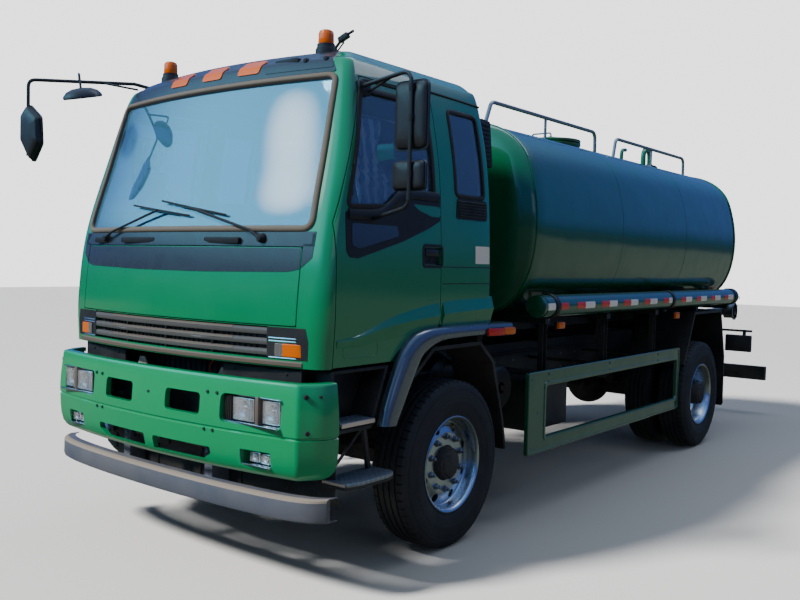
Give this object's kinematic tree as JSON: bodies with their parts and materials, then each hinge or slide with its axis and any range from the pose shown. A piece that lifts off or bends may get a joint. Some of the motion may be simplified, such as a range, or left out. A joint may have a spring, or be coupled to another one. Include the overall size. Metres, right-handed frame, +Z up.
{
  "type": "water tanker truck",
  "caption": "Two-axle water tanker truck: tilting forward-control cab with doors and nose lid, rounded oblong tank with hinged manway lid, side guards, steered front and twin rear wheels.",
  "frame": {"origin": "on the ground under the middle of the truck's length and width", "axes": "+Z up, -Y towards the front of the truck, +Y towards its rear, +X towards its left side"},
  "size_m": [2.98, 8.25, 3.1479],
  "materials": {
    "body_green": "gloss",
    "tank_green": "gloss",
    "bumper_green": "gloss",
    "guard_green": "satin",
    "chassis_black": "satin",
    "steel_grey": "satin",
    "cast_iron": "rough",
    "tread_plate": "satin",
    "plastic_black": "matte",
    "tyre_rubber": "matte",
    "rim_silver": "satin",
    "glass": "clear",
    "lamp_clear": "clear",
    "lamp_amber": "clear",
    "lamp_red": "clear",
    "mirror_case": "matte",
    "seat_cloth": "matte"
  },
  "bodies": {
    "chassis": {"frame_rails": "chassis_black", "front_axle_beam": "cast_iron", "rear_axle": "cast_iron", "leaf_springs": "chassis_black", "engine_block": "cast_iron", "radiator": "plastic_black", "fuel_tank": "chassis_black", "air_reservoirs": "chassis_black", "battery_box": "plastic_black", "front_bumper": "bumper_green", "headlamps": "lamp_clear", "lower_bar": "steel_grey", "cab_steps": "plastic_black", "mudguards": "plastic_black", "tank_subframe": "chassis_black", "tank_shell": "tank_green", "manway_collar": "tank_green", "handrails": "steel_grey", "vent_pipes": "steel_grey", "hose_tubes": "guard_green", "tube_straps": "plastic_black", "side_guards": "guard_green", "chassis_lamps": "lamp_red", "underrun_bar": "chassis_black", "rear_ladder": "steel_grey", "outlet_pipes": "chassis_black"},
    "manway_lid": {"manway_lid": "tank_green"},
    "cab": {"cab_shell": "body_green", "windscreen": "glass", "cab_glass": "glass", "grille": "plastic_black", "turn_lamps": "lamp_amber", "seats": "seat_cloth", "dashboard": "plastic_black", "steering_wheel": "plastic_black", "roof_lamps": "lamp_amber", "beacons": "lamp_amber", "wipers": "plastic_black", "mirror_right": "mirror_case", "arch_flares": "body_green"},
    "front_panel": {"front_panel": "bumper_green"},
    "door_left": {"door_left": "body_green", "door_left_glass": "glass", "mirror_left": "mirror_case"},
    "door_right": {"door_right": "body_green", "door_right_glass": "glass"},
    "knuckle_left": {"knuckle_left": "cast_iron"},
    "knuckle_right": {"knuckle_right": "cast_iron"},
    "front_left_wheel": {"front_left_tyre": "tyre_rubber", "front_left_rim": "rim_silver"},
    "front_right_wheel": {"front_right_tyre": "tyre_rubber", "front_right_rim": "rim_silver"},
    "rear_left_wheels": {"rear_left_tyres": "tyre_rubber", "rear_left_rims": "rim_silver"},
    "rear_right_wheels": {"rear_right_tyres": "tyre_rubber", "rear_right_rims": "rim_silver"}
  },
  "joints": [
    {"name": "cab_tilt", "type": "hinge", "parent": "chassis", "child": "cab", "pos_m": [0, -3.95, 0.9], "axis": [1, 0, 0], "range_deg": [0, 45]},
    {"name": "door_left_hinge", "type": "hinge", "parent": "cab", "child": "door_left", "pos_m": [1.156, -3.8, 1.9], "axis": [0, 0, -1], "range_deg": [0, 70]},
    {"name": "door_right_hinge", "type": "hinge", "parent": "cab", "child": "door_right", "pos_m": [-1.156, -3.8, 1.9], "axis": [0, 0, 1], "range_deg": [0, 70]},
    {"name": "nose_lid_hinge", "type": "hinge", "parent": "cab", "child": "front_panel", "pos_m": [0, -3.98, 1.867], "axis": [-1, 0, 0], "range_deg": [0, 80]},
    {"name": "manway_hinge", "type": "hinge", "parent": "chassis", "child": "manway_lid", "pos_m": [0, 0.995, 3.015], "axis": [-1, 0, 0], "range_deg": [0, 100]},
    {"name": "steer_left", "type": "hinge", "parent": "chassis", "child": "knuckle_left", "pos_m": [0.85, -2.65, 0.529], "axis": [0, 0, 1], "range_deg": [-38, 38]},
    {"name": "steer_right", "type": "hinge", "parent": "chassis", "child": "knuckle_right", "pos_m": [-0.85, -2.65, 0.529], "axis": [0, 0, 1], "range_deg": [-38, 38]},
    {"name": "front_left_spin", "type": "hinge", "parent": "knuckle_left", "child": "front_left_wheel", "pos_m": [1.02, -2.65, 0.529], "axis": [1, 0, 0], "continuous": true},
    {"name": "front_right_spin", "type": "hinge", "parent": "knuckle_right", "child": "front_right_wheel", "pos_m": [-1.02, -2.65, 0.529], "axis": [1, 0, 0], "continuous": true},
    {"name": "rear_left_spin", "type": "hinge", "parent": "chassis", "child": "rear_left_wheels", "pos_m": [0.925, 1.7, 0.529], "axis": [1, 0, 0], "continuous": true},
    {"name": "rear_right_spin", "type": "hinge", "parent": "chassis", "child": "rear_right_wheels", "pos_m": [-0.925, 1.7, 0.529], "axis": [1, 0, 0], "continuous": true}
  ],
  "couplings": [
    {"joint": "steer_right", "follows": "steer_left", "ratio": 1}
  ]
}
